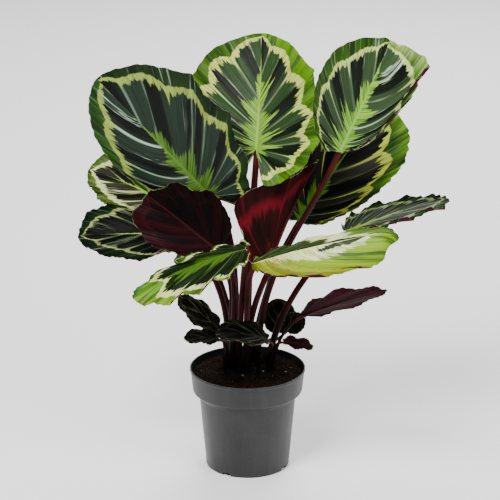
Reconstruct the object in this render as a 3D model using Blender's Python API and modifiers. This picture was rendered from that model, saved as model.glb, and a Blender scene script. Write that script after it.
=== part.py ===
# A potted calathea: round patterned leaves on dark red stems, growing in a plastic nursery pot.
# Run with: blender --background --python part.py
#
# Frame: metres, +Z up, +Y towards the back. The origin is the centre of the flat face that the pot
# stands on.

import math

import bmesh
import bpy
from mathutils import Matrix, Vector

# ---- pot: a 14 cm nursery pot, injection moulded --------------------------------------------
POT_HEIGHT = 0.125
RIM_RADIUS = 0.0700          # outside, at the top
COLLAR_HEIGHT = 0.028        # the deep band under the rim
COLLAR_FOOT_RADIUS = 0.0665  # outside, at the bottom of the band
BODY_TOP_RADIUS = 0.0586     # outside, just under the band
STEP_DROP = 0.006            # the sloping step between band and body
BASE_RADIUS = 0.0506         # outside, at the foot
WALL = 0.0012
FLOOR = 0.0015
FLOOR_INSET = WALL * 1.5     # from the outside of the foot to the floor's inner corner
DRAIN_COUNT = 4              # notches through the corner of wall and floor
DRAIN_WIDTH = 0.0110
DRAIN_HEIGHT = 0.0036
DRAIN_DEPTH = 0.0070         # how far in they reach
DRAIN_TURN = -30.0           # degrees, where the first one is
POT_STEPS = 48

# ---- soil ------------------------------------------------------------------------------------
SOIL_BELOW_RIM = 0.007
SOIL_TOP = POT_HEIGHT - SOIL_BELOW_RIM
FIT = 0.0003                 # gap between pieces that touch

# ---- plant -----------------------------------------------------------------------------------
CROWN_Y = 0.018              # the crown stands a little behind the middle of the pot
BLADE_THICKNESS = 0.0007
BEND_STEPS = 60              # steps that integrate a bent midrib
ALMOST_FLAT = 1e-6           # the least curl, so that a flat half has a radius too

VEIN_SPREAD = 1.15           # above 1, the side veins end closer together near the stem
VEIN_CROWD = 1.35            # above 1, they also leave the midrib closer together there
VEIN_LAST = 0.93             # where the last one leaves the midrib
VEIN_FORWARD = 0.42          # a vein bends this far on towards its end, along the blade
VEIN_OUT = 0.62              # and this far across it
TIP_FROM = 0.8               # where the margin starts to draw in to the pointed tip
TIP_DRAW = 0.7               # and how much it does
SCALLOP_PHASE = 1.0
SWELL_AT = (0.1, 0.3, 0.5, 0.7, 0.9)  # where a leaf's own swells are, from stem to tip
SWELL_REACH = 0.13

STEM_POINTS = 9
STEM_CROWD = 1.3             # above 1, more of them near the blade
STEM_FOOT = 0.006            # each stem leaves the soil straight up for this far
STEM_BOW = 0.4               # share of its reach for which it keeps its first slant
SHEATH_END = 0.4             # the sheathing foot is this share of a stem
JOINT_START = 0.8            # and the joint takes up the rest from here
STEM_UNDER_BLADE = 3.0       # how far a stem runs on under its blade, in its own radii
FOOT_SHARE = 1.35            # share of the stem's radius at its foot
JOINT_SHARE = 0.9            # at the joint below its blade
END_SHARE = 0.5              # and at its end

UPPERSIDE = (0.030, 0.095, 0.030)     # colours that tell the pieces apart
UNDERSIDE = (0.110, 0.012, 0.025)
SHOWS_UNDERSIDE = ("leaf_left_under", "leaf_centre_under", "leaf_low_right", "leaf_small_right")

LARGE_GRID = (11, 8)         # cells along a blade, and across it
SMALL_GRID = (8, 6)

# What every leaf has unless its own entry says otherwise. Pairs are (right half, left half), seen
# from the leaf's upper side with its tip away from the viewer. Angles are in degrees.
LEAF = dict(
    sides=(1.0, 1.0),        # share of the half width
    arch=10.0,               # bend along the midrib; positive droops the tip
    hook=0.0,                # extra bend close to the tip
    hook_from=0.65,          # where that starts, along the midrib
    lobe=(0.05, 0.05),       # how far the base lobes reach back past the stem
    egg=(0.05, 0.05),        # positive is broadest near the stem
    point=(0.0, 0.0),        # narrows the tip end
    notch=0.22,              # how open the notch between the lobes is
    cup=(5.0, 5.0),          # each half's rise at the midrib
    curl=(10.0, 10.0),       # and its further rise out to the margin
    ruffle=0.003,            # height of the margin's waves
    waves=5,
    phase=(0.0, 2.0),
    scallop=0.0,             # how much the waves also move the margin in and out
    swell=((0, 0, 0, 0, 0), (0, 0, 0, 0, 0)),   # and how much each stretch of it stands out
    radius=0.0035,           # of the stem
    follow=1.0,              # 1 arrives along the midrib, 0 straight from the crown
    arrive=0.25,             # share of the stem's reach that turns to the blade
    lean=0.35,               # how much of the slant a stem has at its foot
    small=False,
)

# base and tip are the two ends of the midrib, facing is where the upper side looks (azimuth from
# +X, elevation), root is the place in the crown (angle, distance from its middle).
LEAVES = {
    "leaf_left_high": dict(
        base=(-0.043, -0.021, 0.348), tip=(-0.172, -0.046, 0.4975), facing=(-95, 25),
        width=0.165, sides=(1.0, 0.78), lobe=(0.27, 0.0), egg=(0.10, -0.05),
        swell=((-0.30, -0.20, -0.02, 0.16, 0.10), (-0.25, -0.18, -0.10, -0.08, -0.18)), arch=12,
        cup=(12, 12), waves=6, root=(200, 0.012), radius=0.0040),
    "leaf_top": dict(
        base=(0.010, 0.000, 0.3988), tip=(0.017, 0.070, 0.522), facing=(-108, 8),
        width=0.150, lobe=(0.34, 0.18), egg=(0.25, 0.05),
        swell=((0.14, 0.14, 0.05, 0.14, 0.14), (0, 0, 0.09, 0.20, 0.24)), notch=0.08, arch=-14,
        cup=(6, 6), curl=(8, 8), waves=6, root=(95, 0.010), radius=0.0040),
    "leaf_right_high": dict(
        base=(0.107, -0.035, 0.407), tip=(0.162, -0.035, 0.540), facing=(-80, 22),
        width=0.125, sides=(0.88, 0.85), lobe=(-0.04, 0.06), egg=(-0.45, -0.05),
        swell=((-0.05, -0.12, -0.24, -0.18, 0.50), (0, 0.03, 0.12, 0.24, 0)), hook=40,
        ruffle=0.005, waves=6, root=(28, 0.0155), lean=0.0, follow=0.6, arrive=0.35,
        radius=0.0034),
    "leaf_right_back": dict(
        base=(0.063, 0.050, 0.294), tip=(0.162, 0.080, 0.437), facing=(-100, 15),
        width=0.136, sides=(1.05, 0.75), lobe=(0.0, 0.08), egg=(-0.2, 0.0),
        swell=((-0.20, -0.20, -0.13, -0.03, 0.16), (0, 0, 0, 0, 0)), ruffle=0.004, waves=6,
        root=(66, 0.0195), lean=0.25, radius=0.0037),
    "leaf_right_far": dict(
        base=(0.121, 0.060, 0.278), tip=(0.245, 0.100, 0.307), facing=(-90, 86),
        width=0.070, sides=(1.05, 0.65),
        swell=((0, 0, 0.05, 0.20, 0.35), (0.45, 0.35, 0.15, 0, 0)), waves=6, root=(8, 0.027),
        lean=0.2, follow=0.6, radius=0.0037),
    "leaf_right_front": dict(
        base=(0.006, -0.074, 0.2835), tip=(0.173, -0.090, 0.318), facing=(-80, 86),
        width=0.085, sides=(0.81, 0.50), lobe=(0.03, 0.03), egg=(-0.05, -0.05),
        swell=((-0.2, -0.05, 0.10, 0.20, 0.62), (0, 0, -0.1, -0.05, 0.12)), hook=75, hook_from=0.84,
        cup=(-42, 5), curl=(-15, 0), ruffle=0.002, waves=6, root=(-93, 0.023), lean=0.1, follow=0.5,
        arrive=0.1),
    "leaf_left_front": dict(
        base=(-0.002, -0.088, 0.306), tip=(-0.131, -0.128, 0.261), facing=(-90, 80),
        width=0.090, sides=(0.70, 0.72), lobe=(0.12, 0.04),
        swell=((0.60, 0.05, 0, -0.05, 0), (0, 0.05, 0.10, 0.20, 0.42)), arch=25,
        cup=(-8, -12), curl=(-10, -10), waves=6, root=(-118, 0.021), lean=0.0, follow=0.0,
        arrive=0.1),
    "leaf_left_under": dict(
        base=(-0.033, -0.034, 0.284), tip=(-0.114, -0.100, 0.376), facing=(125, 20),
        width=0.101, sides=(0.78, 0.93), lobe=(0.08, 0.08), point=(0.0, 0.5),
        swell=((-0.30, -0.10, 0.15, 0.25, 0.20), (-0.12, 0.14, 0.08, 0, 0)), arch=20,
        cup=(10, 10), ruffle=0.004, waves=4, scallop=0.05, root=(215, 0.022)),
    "leaf_centre_under": dict(
        base=(0.0215, -0.035, 0.258), tip=(0.083, 0.000, 0.3865), facing=(110, 10),
        width=0.125, sides=(1.05, 0.5), lobe=(0.02, 0.02), egg=(0.3, 0.1), point=(1.0, 0.0),
        swell=((-0.40, -0.26, 0.36, -0.12, -0.40), (0, 0, 0, 0, 0)), arch=20, cup=(10, 70),
        root=(-80, 0.003), lean=0.0, follow=1.8, arrive=0.25, radius=0.0037),
    "leaf_left_mid": dict(
        base=(-0.087, 0.085, 0.303), tip=(-0.194, 0.105, 0.343), facing=(-100, 55),
        width=0.095, swell=((0, 0, 0, 0, 0), (0, 0, -0.10, 0, 0)), root=(130, 0.021),
        lean=0.15, arrive=0.15),
    "leaf_left_low": dict(
        base=(-0.073, 0.005, 0.293), tip=(-0.203, 0.025, 0.284), facing=(-100, 45),
        width=0.070, egg=(0.0, 0.0),
        swell=((-0.30, -0.25, -0.15, 0.25, 0.50), (0, 0, 0.12, -0.05, -0.12)), root=(150, 0.026),
        lean=0.0, follow=0.3, arrive=0.35),
    "leaf_left_inner": dict(
        base=(-0.042, -0.022, 0.266), tip=(-0.087, -0.027, 0.270), facing=(-90, 60),
        width=0.034, ruffle=0.002, waves=3, root=(172, 0.022), radius=0.0022, small=True),
    "leaf_low_left": dict(
        base=(-0.034, -0.016, 0.180), tip=(-0.083, -0.022, 0.223), facing=(-60, 55),
        width=0.040, sides=(0.75, 1.2), egg=(0.0, 0.0), arch=15, waves=4, root=(200, 0.029),
        radius=0.0018, small=True),
    "leaf_small_left": dict(
        base=(-0.034, -0.046, 0.1795), tip=(-0.075, -0.058, 0.184), facing=(-90, 60),
        width=0.024, egg=(0.0, 0.0), arch=30, ruffle=0.002, waves=3, root=(218, 0.033),
        radius=0.0016, small=True),
    "leaf_small_front": dict(
        base=(0.024, -0.064, 0.1855), tip=(-0.038, -0.070, 0.1955), facing=(-90, 70),
        width=0.042, egg=(0.0, 0.0), arch=30, ruffle=0.002, waves=3, root=(-65, 0.032),
        radius=0.0016, small=True),
    "leaf_small_upright": dict(
        base=(0.037, 0.060, 0.146), tip=(0.037, 0.070, 0.187), facing=(-90, 10),
        width=0.040, sides=(1.15, 0.9), egg=(0.0, 0.0), ruffle=0.002, waves=3,
        root=(85, 0.027), radius=0.0016, small=True),
    "leaf_small_back": dict(
        base=(0.049, 0.048, 0.153), tip=(0.068, 0.051, 0.173), facing=(-90, 30),
        width=0.026, egg=(0.0, 0.0), ruffle=0.002, waves=3, root=(45, 0.029),
        radius=0.0016, small=True),
    "leaf_low_right": dict(
        base=(0.065, -0.010, 0.195), tip=(0.166, -0.020, 0.231), facing=(90, 45),
        width=0.066, sides=(0.72, 1.0), lobe=(0.0, 0.0), egg=(0.1, 0.1),
        swell=((0, 0, 0, -0.10, -0.35), (-0.30, -0.10, 0, -0.10, -0.35)), ruffle=0.002,
        waves=4, root=(-8, 0.031), radius=0.0018, small=True),
    "leaf_small_right": dict(
        base=(0.043, -0.020, 0.166), tip=(0.078, -0.035, 0.166), facing=(90, 30),
        width=0.032, sides=(0.6, 1.0), egg=(0.0, 0.0), ruffle=0.002, waves=3,
        root=(-35, 0.032), radius=0.0016, small=True),
}


# ---- scene helpers -----------------------------------------------------------------------------

def clear_scene():
    for old in list(bpy.data.objects):
        bpy.data.objects.remove(old, do_unlink=True)


def new_collection(name):
    group = bpy.data.collections.new(name)
    bpy.context.scene.collection.children.link(group)
    return group


def material(name, colour, roughness):
    mat = bpy.data.materials.new(name)
    mat.use_nodes = True
    shader = mat.node_tree.nodes["Principled BSDF"]
    shader.inputs["Base Color"].default_value = (*colour, 1.0)
    shader.inputs["Roughness"].default_value = roughness
    return mat


def add_object(name, data, group, mat):
    obj = bpy.data.objects.new(name, data)
    group.objects.link(obj)
    data.materials.append(mat)
    return obj


def add_screw(obj, steps):
    screw = obj.modifiers.new("turn", "SCREW")
    screw.steps = steps
    screw.render_steps = steps
    screw.use_merge_vertices = True
    screw.merge_threshold = 0.00005


def profile_mesh(name, points):
    # an open profile in the XZ plane, listed down its outer side and back up its inner side
    mesh = bpy.data.meshes.new(name)
    edges = [(i, i + 1) for i in range(len(points) - 1)]
    mesh.from_pydata([(x, 0.0, z) for x, z in points], edges, [])
    return mesh


# ---- pot and soil --------------------------------------------------------------------------------

def make_pot(group, cutters):
    collar_foot = POT_HEIGHT - COLLAR_HEIGHT
    body_top = collar_foot - STEP_DROP
    lip = WALL / 2
    outside = [
        (RIM_RADIUS - lip, POT_HEIGHT),
        (RIM_RADIUS, POT_HEIGHT - lip),
        (COLLAR_FOOT_RADIUS, collar_foot),
        (COLLAR_FOOT_RADIUS - WALL, collar_foot - WALL),
        (BODY_TOP_RADIUS, body_top),
        (BASE_RADIUS, lip),
        (BASE_RADIUS - lip, 0.0),
        (0.0, 0.0),
    ]
    inside = [
        (0.0, FLOOR),
        (BASE_RADIUS - FLOOR_INSET, FLOOR),
        (BODY_TOP_RADIUS - WALL, body_top),
        (COLLAR_FOOT_RADIUS - WALL, collar_foot + WALL),
        (RIM_RADIUS - WALL, POT_HEIGHT - lip),
        (RIM_RADIUS - lip, POT_HEIGHT),
    ]
    mat = material("pot_plastic", (0.035, 0.035, 0.037), 0.42)
    pot = add_object("pot", profile_mesh("pot", outside + inside), group, mat)
    add_screw(pot, POT_STEPS)

    # the drainage notches, cut in a single step
    bm = bmesh.new()
    for index in range(DRAIN_COUNT):
        angle = 2 * math.pi * index / DRAIN_COUNT + math.radians(DRAIN_TURN)
        size = Matrix.Diagonal((DRAIN_DEPTH * 2, DRAIN_WIDTH, DRAIN_HEIGHT * 2, 1.0))
        place = Matrix.Rotation(angle, 4, "Z") @ Matrix.Translation((BASE_RADIUS, 0.0, 0.0))
        bmesh.ops.create_cube(bm, size=1.0, matrix=place @ size)
    mesh = bpy.data.meshes.new("drain_cutter")
    bm.to_mesh(mesh)
    bm.free()
    cutter = bpy.data.objects.new("drain_cutter", mesh)
    cutters.objects.link(cutter)
    cutter.hide_render = True
    cutter.display_type = "WIRE"
    cut = pot.modifiers.new("drains", "BOOLEAN")
    cut.operation = "DIFFERENCE"
    cut.object = cutter


def make_soil(group):
    collar_foot = POT_HEIGHT - COLLAR_HEIGHT
    body_top = collar_foot - STEP_DROP
    wall_top = COLLAR_FOOT_RADIUS + (RIM_RADIUS - COLLAR_FOOT_RADIUS) * (
        (SOIL_TOP - collar_foot) / COLLAR_HEIGHT)
    side_fit = FIT * 1.5     # more than FIT, because the wall slopes
    inset = WALL + side_fit
    points = [
        (0.0, SOIL_TOP),
        (wall_top - inset, SOIL_TOP),
        (COLLAR_FOOT_RADIUS - inset, collar_foot + WALL + FIT),
        (BODY_TOP_RADIUS - inset, body_top + FIT),
        (BASE_RADIUS - FLOOR_INSET - side_fit, FLOOR + FIT),
        (0.0, FLOOR + FIT),
    ]
    mat = material("peat", (0.045, 0.024, 0.014), 0.95)
    soil = add_object("soil", profile_mesh("soil", points), group, mat)
    add_screw(soil, POT_STEPS)


# ---- leaf blades -----------------------------------------------------------------------------------

def leaf_settings(name):
    leaf = dict(LEAF)
    leaf.update(LEAVES[name])
    return leaf


def leaf_frame(leaf):
    # the straight line from base to tip, with the leaf's upper side and its right hand side
    base, tip = Vector(leaf["base"]), Vector(leaf["tip"])
    azimuth, elevation = (math.radians(angle) for angle in leaf["facing"])
    facing = Vector((math.cos(elevation) * math.cos(azimuth),
                     math.cos(elevation) * math.sin(azimuth),
                     math.sin(elevation)))
    along = (tip - base).normalized()
    upper = (facing - along * facing.dot(along)).normalized()
    return base, along, upper, along.cross(upper), (tip - base).length


def bent_midrib(leaf, chord):
    # (distance forward, height, slope) at each step from base to tip, scaled to span the chord
    arch, hook = math.radians(leaf["arch"]), math.radians(leaf["hook"])
    start = leaf["hook_from"]

    def slope_at(share):
        end = max(0.0, (share - start) / (1.0 - start))
        return arch * (0.5 - share) - hook * end ** 2

    forward, height = [0.0], [0.0]
    for step in range(BEND_STEPS):
        slope = slope_at((step + 0.5) / BEND_STEPS)
        forward.append(forward[-1] + math.cos(slope) / BEND_STEPS)
        height.append(height[-1] + math.sin(slope) / BEND_STEPS)
    turn = math.atan2(height[-1], forward[-1])
    length = chord / math.hypot(forward[-1], height[-1])
    path = []
    for step in range(BEND_STEPS + 1):
        x, z = forward[step], height[step]
        path.append((length * (x * math.cos(turn) + z * math.sin(turn)),
                     length * (z * math.cos(turn) - x * math.sin(turn)),
                     slope_at(step / BEND_STEPS) - turn))
    return path, length


def along_midrib(path, length, share):
    # past the base, where lobes reach back, the midrib's first slope simply carries on
    place = min(max(share, 0.0), 1.0) * BEND_STEPS
    step = min(int(place), BEND_STEPS - 1)
    part = place - step
    low, high = path[step], path[step + 1]
    forward, height, slope = (a + (b - a) * part for a, b in zip(low, high))
    back = min(share, 0.0) * length
    return forward + back * math.cos(path[0][2]), height + back * math.sin(path[0][2]), slope


def margin(leaf, half, turn):
    # the flat outline: turn runs from 0 at the stem to pi at the tip. Returns the share of the
    # length, and of the half width
    lobe, egg = leaf["lobe"][half], leaf["egg"][half]
    along = (1 + lobe) * (1 - math.cos(turn)) / 2
    along -= lobe * (1 - math.exp(-(turn / leaf["notch"]) ** 2))
    far = turn / math.pi
    tip = min(max((far - TIP_FROM) / (1 - TIP_FROM), 0.0), 1.0)
    across = math.sin(turn) * (1 + egg * math.cos(turn))
    across *= 1 - TIP_DRAW * tip ** 2 * (1 - tip)
    across *= 1 - leaf["point"][half] * far ** 2
    for place, swell in zip(SWELL_AT, leaf["swell"][half]):
        across *= 1 + swell * math.exp(-((far - place) / SWELL_REACH) ** 2)
    wave = math.sin(2 * math.pi * leaf["waves"] * far + leaf["phase"][half] + SCALLOP_PHASE)
    across *= 1 + leaf["scallop"] * wave * math.sin(turn)
    return along, across


def blade_point(leaf, frame, path, length, row, column):
    # row runs 0..1 from stem to tip, column -1..1 from the left margin to the right one, both
    # along the leaf's own side veins, which leave the midrib and curve forward to the margin
    base, along_axis, upper_axis, right_axis, _ = frame
    half = 0 if column >= 0 else 1
    out = abs(column)
    end_along, end_across = margin(leaf, half, math.pi * row ** VEIN_SPREAD)
    start = VEIN_LAST * row ** VEIN_CROWD
    bow_along = start + (end_along - start) * VEIN_FORWARD
    bow_across = end_across * VEIN_OUT
    share = (1 - out) ** 2 * start + 2 * out * (1 - out) * bow_along + out ** 2 * end_along
    half_width = leaf["width"] / 2 * leaf["sides"][half]
    flat = half_width * (2 * out * (1 - out) * bow_across + out ** 2 * end_across)

    cup, curl = math.radians(leaf["cup"][half]), math.radians(leaf["curl"][half])
    rate = (curl + ALMOST_FLAT) / half_width
    sideways = (math.sin(cup + rate * flat) - math.sin(cup)) / rate
    rise = (math.cos(cup) - math.cos(cup + rate * flat)) / rate
    wave = math.sin(2 * math.pi * leaf["waves"] * row + leaf["phase"][half])
    rise += leaf["ruffle"] * out ** 3 * wave * math.sqrt(abs(math.sin(math.pi * row)))
    if half == 1:
        sideways = -sideways

    forward, height, slope = along_midrib(path, length, share)
    normal = upper_axis * math.cos(slope) - along_axis * math.sin(slope)
    return (base + along_axis * forward + upper_axis * height
            + right_axis * sideways + normal * rise)


def make_blade(name, group, mat):
    leaf = leaf_settings(name)
    frame = leaf_frame(leaf)
    path, length = bent_midrib(leaf, frame[4])
    rows, columns = SMALL_GRID if leaf["small"] else LARGE_GRID
    bm = bmesh.new()
    bmesh.ops.create_grid(bm, x_segments=columns, y_segments=rows, size=1.0)
    for vert in bm.verts:
        column, row = vert.co.x, (vert.co.y + 1) / 2
        vert.co = blade_point(leaf, frame, path, length, row, column)
    bmesh.ops.remove_doubles(bm, verts=bm.verts, dist=0.0001)
    mesh = bpy.data.meshes.new(name)
    bm.to_mesh(mesh)
    bm.free()
    mesh.shade_smooth()
    blade = add_object(name, mesh, group, mat)
    shell = blade.modifiers.new("thickness", "SOLIDIFY")
    shell.thickness = BLADE_THICKNESS
    shell.offset = 0.0


# ---- stems -----------------------------------------------------------------------------------------

def stem_route(leaf):
    # from the crown up to the blade's underside, as (point, share of the stem's radius)
    base, along_axis, upper_axis, _, chord = leaf_frame(leaf)
    path, _ = bent_midrib(leaf, chord)
    slope = path[0][2]
    along = along_axis * math.cos(slope) + upper_axis * math.sin(slope)
    normal = upper_axis * math.cos(slope) - along_axis * math.sin(slope)

    angle, distance = leaf["root"]
    root = Vector((distance * math.cos(math.radians(angle)),
                   CROWN_Y + distance * math.sin(math.radians(angle)),
                   SOIL_TOP + FIT))
    # under a blade whose halves droop, the stem sits a little lower
    droop = math.cos(math.radians(min(0.0, *leaf["cup"])))
    reach = base - root
    arrival = (along * leaf["follow"] + reach.normalized() * (1 - leaf["follow"])).normalized()

    def below(place, radius):
        return place - normal * ((radius + BLADE_THICKNESS / 2) / droop + FIT)

    joint = below(base, leaf["radius"] * JOINT_SHARE)
    end = below(base + along * leaf["radius"] * STEM_UNDER_BLADE, leaf["radius"] * END_SHARE)

    foot = root + Vector((0.0, 0.0, STEM_FOOT))
    span = joint - foot
    rise = Vector((span.x * leaf["lean"], span.y * leaf["lean"], span.z)).normalized()
    bow = foot + rise * span.length * STEM_BOW
    turn = joint - arrival * span.length * leaf["arrive"]
    route = [(root, FOOT_SHARE)]
    for step in range(STEM_POINTS):
        t = 1 - (1 - step / (STEM_POINTS - 1)) ** STEM_CROWD
        point = (foot * (1 - t) ** 3 + bow * 3 * t * (1 - t) ** 2
                 + turn * 3 * t * t * (1 - t) + joint * t ** 3)
        taper = FOOT_SHARE - (FOOT_SHARE - 1) * min(1.0, t / SHEATH_END)
        taper -= (1 - JOINT_SHARE) * max(0.0, t - JOINT_START) / (1 - JOINT_START)
        route.append((point, taper))
    route.append((end, END_SHARE))
    return route


def make_stem(name, group, mat):
    leaf = leaf_settings(name)
    curve = bpy.data.curves.new(name + "_stem", "CURVE")
    curve.dimensions = "3D"
    curve.bevel_depth = leaf["radius"]
    curve.bevel_resolution = 2
    curve.use_fill_caps = True
    spline = curve.splines.new("POLY")
    route = stem_route(leaf)
    spline.points.add(len(route) - 1)
    for point, (place, share) in zip(spline.points, route):
        point.co = (*place, 1.0)
        point.radius = share
    add_object(name + "_stem", curve, group, mat)


def main():
    clear_scene()
    group = new_collection("potted_calathea")
    cutters = new_collection("cutters")
    make_pot(group, cutters)
    make_soil(group)
    stem = material("petiole", (0.14, 0.020, 0.030), 0.45)
    for name in LEAVES:
        shade = UNDERSIDE if name in SHOWS_UNDERSIDE else UPPERSIDE
        make_blade(name, group, material(name, shade, 0.4))
        make_stem(name, group, stem)


main()
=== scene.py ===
# A potted calathea: round patterned leaves on dark red stems in a plastic nursery pot, dressed
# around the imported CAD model. Metres, +Z up, +Y to the back.

import functools
import math
from types import SimpleNamespace

import bmesh
import bpy
import numpy as np
from mathutils import Matrix, Vector


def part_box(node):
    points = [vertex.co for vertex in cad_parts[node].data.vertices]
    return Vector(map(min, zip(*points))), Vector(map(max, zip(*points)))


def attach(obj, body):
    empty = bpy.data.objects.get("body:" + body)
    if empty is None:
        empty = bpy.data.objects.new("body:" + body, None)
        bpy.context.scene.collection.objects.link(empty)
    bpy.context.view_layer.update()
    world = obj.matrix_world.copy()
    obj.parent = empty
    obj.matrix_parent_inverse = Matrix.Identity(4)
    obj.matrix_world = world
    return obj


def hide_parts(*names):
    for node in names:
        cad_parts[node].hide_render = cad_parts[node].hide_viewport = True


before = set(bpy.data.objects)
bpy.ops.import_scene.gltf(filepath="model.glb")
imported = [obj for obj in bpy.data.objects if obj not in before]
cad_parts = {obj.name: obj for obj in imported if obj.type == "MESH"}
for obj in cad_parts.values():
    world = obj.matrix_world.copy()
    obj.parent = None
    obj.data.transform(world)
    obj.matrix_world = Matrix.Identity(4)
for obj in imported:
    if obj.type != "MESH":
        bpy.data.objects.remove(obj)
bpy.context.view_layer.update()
potLow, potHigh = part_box("pot")
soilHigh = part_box("soil")[1]
mm = 0.001


def linear(hexColour):
    channels = [int(hexColour[i:i + 2], 16) / 255 for i in (1, 3, 5)]
    return (*((c / 12.92 if c <= 0.04045 else ((c + 0.055) / 1.055) ** 2.4) for c in channels), 1.0)


# short words for the nodes used most: type, settings, inputs in order, output
nodeWords = {
    "mix": ("ShaderNodeMix", dict(data_type="RGBA"), (0, 6, 7), 2),
    "ease": ("ShaderNodeMapRange", dict(interpolation_type="SMOOTHSTEP"), range(5), 0),
    "noise": ("ShaderNodeTexNoise", {}, ("Vector", "Scale", "Detail", "Roughness"), 0),
    "bump": ("ShaderNodeBump", {}, ("Height", "Strength", "Distance"), 0),
    "split": ("ShaderNodeSeparateXYZ", {}, (0,), 0),
    "place": ("ShaderNodeTexCoord", {}, (), "Object"),
    "painted": ("ShaderNodeAttribute", {}, (), "Fac"),
    "stored": ("GeometryNodeInputNamedAttribute", {}, ("Name",), 0),
    "scale": ("ShaderNodeVectorMath", dict(operation="SCALE"), (0, "Scale"), 0),
}


def fillInputs(node, values):
    # an input takes a value, a hex colour, or a link from another node's output
    for key, value in values.items():
        if isinstance(value, bpy.types.NodeSocket):
            node.id_data.links.new(value, node.inputs[key])
        else:
            isColour = isinstance(value, str) and value.startswith("#")
            node.inputs[key].default_value = linear(value) if isColour else value


def addNode(tree, kind, *values, out=None, **settings):
    # kind is a node's type, a short word, or a sum in capitals; the values fill its inputs in
    # order, or by name in a dictionary. Gives back the node's output
    nodeType, fixed, slots, main = nodeWords.get(kind, (kind, {}, range(len(values)), 0))
    if kind.isupper():
        nodeType, fixed = "ShaderNodeMath", dict(operation=kind)
    node = tree.nodes.new(nodeType)
    for name, value in {**fixed, **settings}.items():
        setattr(node, name, value)
    named = values and isinstance(values[0], dict)
    fillInputs(node, values[0] if named else dict(zip(slots, values)))
    return node.outputs[main if out is None else out] if node.outputs else None


def newMaterial(name):
    mat = bpy.data.materials.new(name)
    mat.use_nodes = True
    return mat, functools.partial(addNode, mat.node_tree)


def layered(add, colour, *layers):
    # each layer is a mask and the colour that it lays over the ones before
    for mask, paint in layers:
        colour = add("mix", mask, colour, paint)
    return colour


def finishMaterial(mat, colour, roughness, shine, normal=None):
    shader = mat.node_tree.nodes["Principled BSDF"]
    fillInputs(shader, {"Base Color": colour, "Roughness": roughness, "Specular IOR Level": shine})
    if normal:
        fillInputs(shader, {"Normal": normal})
    return mat


def newGeometryTree(name, inputs):
    # a Geometry Nodes tree with its named inputs; the kind of each follows from its first value
    tree = bpy.data.node_groups.new(name, "GeometryNodeTree")
    tree.interface.new_socket("Geometry", in_out="INPUT", socket_type="NodeSocketGeometry")
    for label, value in inputs.items():
        kind = {int: "NodeSocketInt", float: "NodeSocketFloat"}.get(type(value), "NodeSocketMaterial")
        tree.interface.new_socket(label, in_out="INPUT", socket_type=kind)
    tree.interface.new_socket("Geometry", in_out="OUTPUT", socket_type="NodeSocketGeometry")
    add = functools.partial(addNode, tree)
    return tree, add, add("NodeGroupInput").node.outputs


def finishGeometryTree(add, geometry, material):
    whole = add("GeometryNodeRealizeInstances", geometry)
    add("NodeGroupOutput", add("GeometryNodeSetMaterial", {"Geometry": whole, "Material": material}))


def applyGeometryTree(obj, tree, inputs):
    shaper = obj.modifiers.new(tree.name, "NODES")
    shaper.node_group = tree
    for socket in tree.interface.items_tree:
        if socket.in_out == "INPUT" and socket.name in inputs:
            shaper[socket.identifier] = inputs[socket.name]
    bakeModifiers(obj)


def bakeModifiers(obj):
    bpy.context.view_layer.update()
    graph = bpy.context.evaluated_depsgraph_get()
    mesh = bpy.data.meshes.new_from_object(obj.evaluated_get(graph), preserve_all_data_layers=True,
                                           depsgraph=graph)
    obj.modifiers.clear()
    obj.data = mesh


def newObject(name, data):
    obj = bpy.data.objects.new(name, data)
    bpy.context.scene.collection.objects.link(obj)
    return obj


def newMesh(name, bm):
    mesh = bpy.data.meshes.new(name)
    bm.to_mesh(mesh)
    bm.free()
    return mesh


def standIn(piece, node):
    # the piece takes the place of a CAD node and its finish, on the plant's one body
    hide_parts(node)
    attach(piece, "root")


# camera, lights and floor

studio = dict(
    lens=166.5, sensor=36.0, cameraPlace=(0.003, -2.6, 1.18), lookDown=19.2, reach=50.0,
    ambient=0.22, aim=(0.0, 0.0, 0.3), paper="#fbfbfb", paperReach=9.0,
    softboxes={
        "key": dict(place=(-0.9, -1.3, 2.3), size=1.1, power=100.0),
        "fill": dict(place=(1.6, -1.5, 1.6), size=1.2, power=34.0),
        "back": dict(place=(0.4, 2.0, 2.2), size=2.0, power=100.0),
    },
)


def buildStage():
    camData = bpy.data.cameras.new("camera")
    camData.lens = studio["lens"]
    camData.sensor_width = studio["sensor"]
    camData.clip_end = studio["reach"]
    cam = newObject("camera", camData)
    cam.location = studio["cameraPlace"]
    cam.rotation_euler = (math.radians(90 - studio["lookDown"]), 0.0, 0.0)
    bpy.context.scene.camera = cam

    world = bpy.data.worlds.new("studio")
    world.use_nodes = True
    background = world.node_tree.nodes["Background"]
    fillInputs(background, {"Color": "#ffffff", "Strength": studio["ambient"]})
    bpy.context.scene.world = world

    for name, box in studio["softboxes"].items():
        light = bpy.data.lights.new(name, "AREA")
        light.size = box["size"]
        light.energy = box["power"]
        lamp = newObject(name, light)
        lamp.location = box["place"]
        toPlant = Vector(studio["aim"]) - lamp.location
        lamp.rotation_euler = toPlant.to_track_quat("-Z", "Y").to_euler()

    # matt white backdrop paper
    bm = bmesh.new()
    bmesh.ops.create_grid(bm, x_segments=4, y_segments=4, size=studio["paperReach"])
    mesh = newMesh("floor", bm)
    mesh.materials.append(finishMaterial(newMaterial("paper_sweep")[0], studio["paper"], 0.9, 0.1))
    floor = newObject("floor", mesh)
    floor.location = (0.0, 0.0, potLow.z)
    print("stage built")


# leaves: the same rule of shape as the CAD blades, on a much finer grid. Lengths are in
# millimetres and angles in degrees. A pair is (right half, left half) seen from the upper side
# of a blade, and a single value serves both halves

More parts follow.
